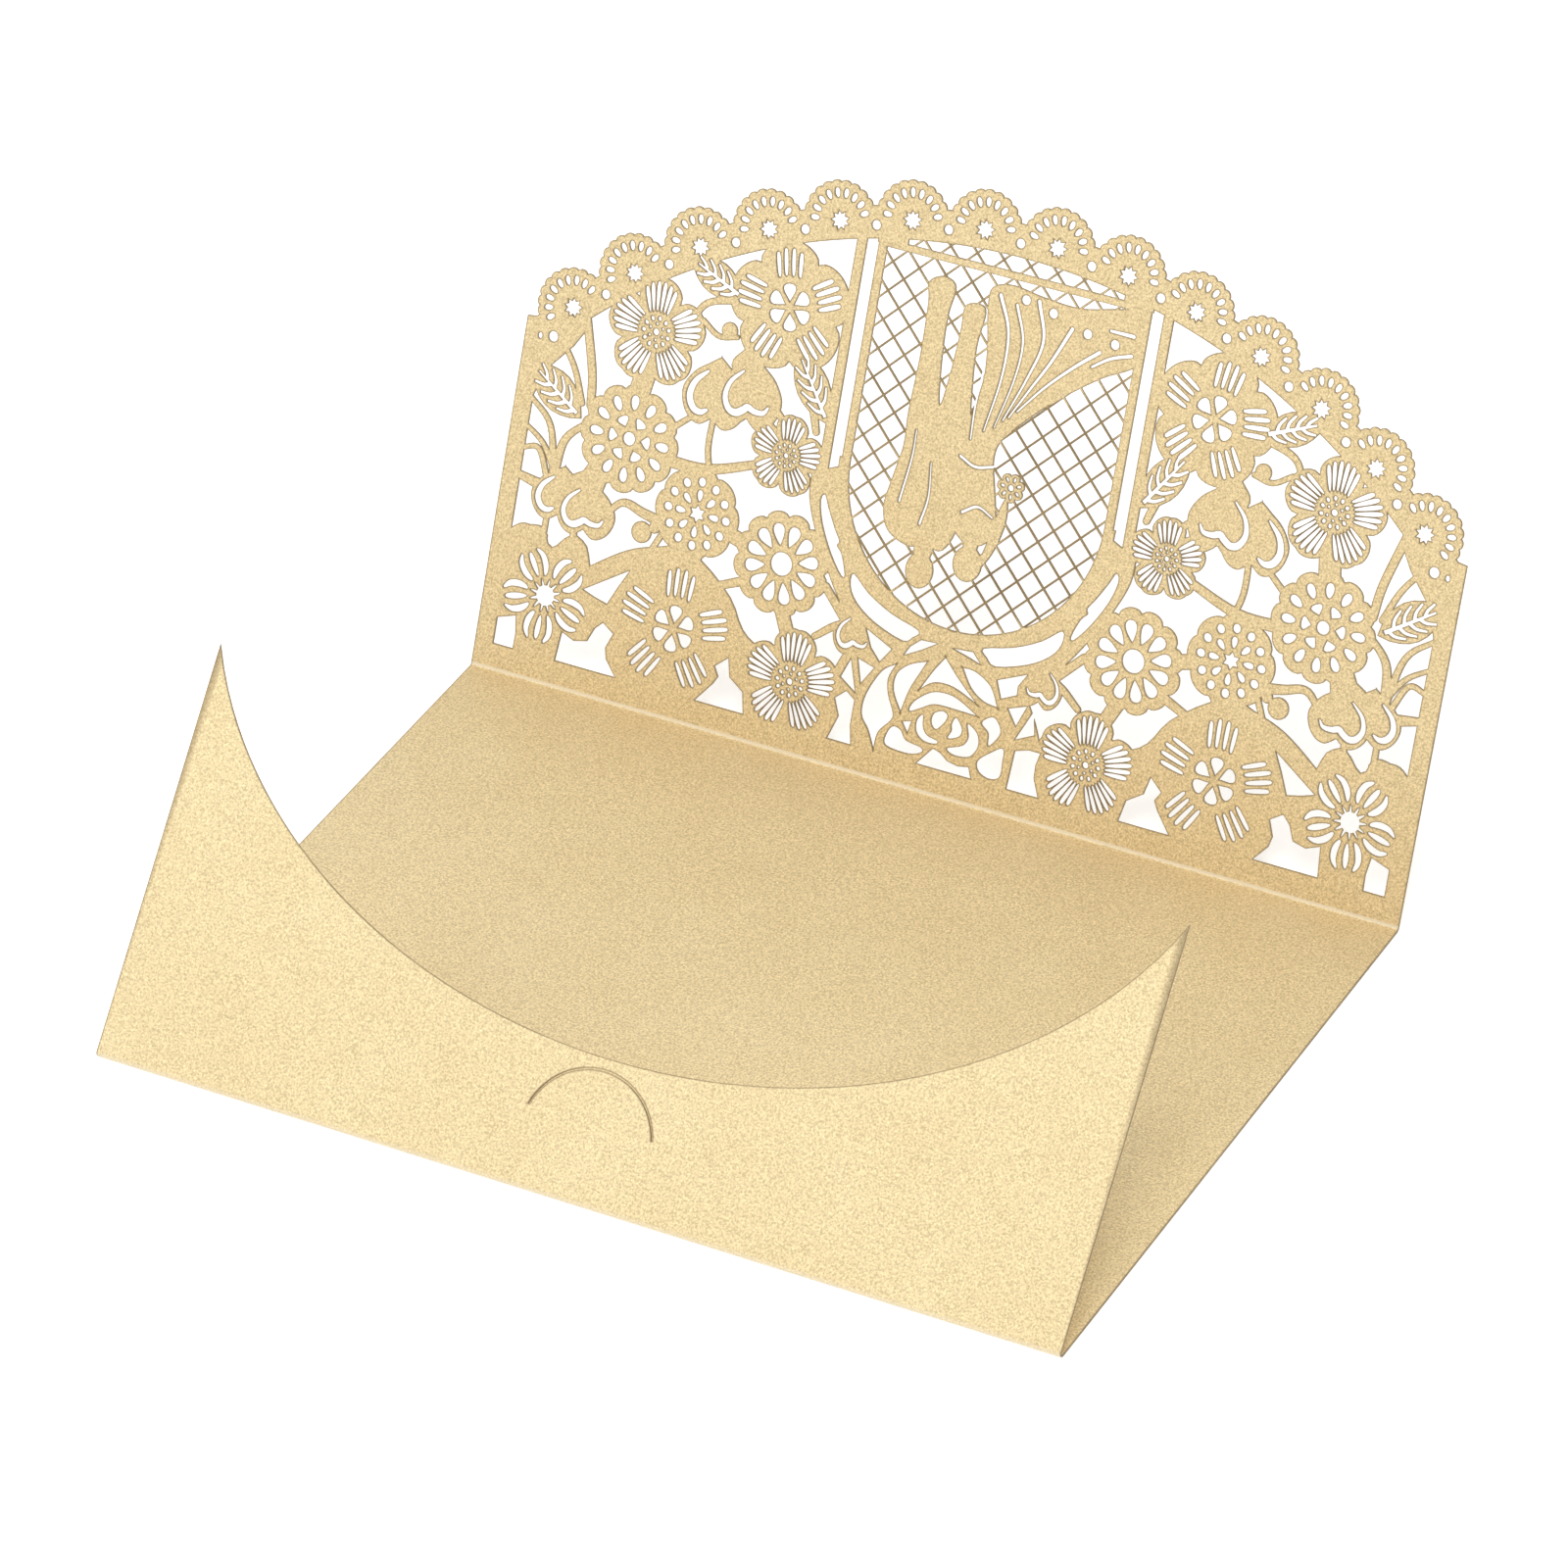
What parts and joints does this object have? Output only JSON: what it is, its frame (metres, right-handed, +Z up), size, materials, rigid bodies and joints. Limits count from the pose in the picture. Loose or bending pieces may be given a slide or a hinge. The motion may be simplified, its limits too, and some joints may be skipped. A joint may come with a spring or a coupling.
{
  "type": "laser-cut wedding invitation card",
  "caption": "Folded pearl paper card standing open: flat back panel, leaning pocket flap with a hollow edge, and a scalloped laser-cut lace flap with a latticed window.",
  "frame": {"origin": "centre of the back panel's underside, on the surface that the card lies on", "axes": "+X along both folds, +Y from the pocket fold to the lace fold, +Z up"},
  "size_m": [0.184, 0.1725, 0.0977],
  "materials": {
    "pearl_paper": "satin pearl, fine felt texture, slightly darker at the laser cuts"
  },
  "bodies": {
    "root": {"folded_sheet": "pearl_paper"}
  },
  "joints": []
}
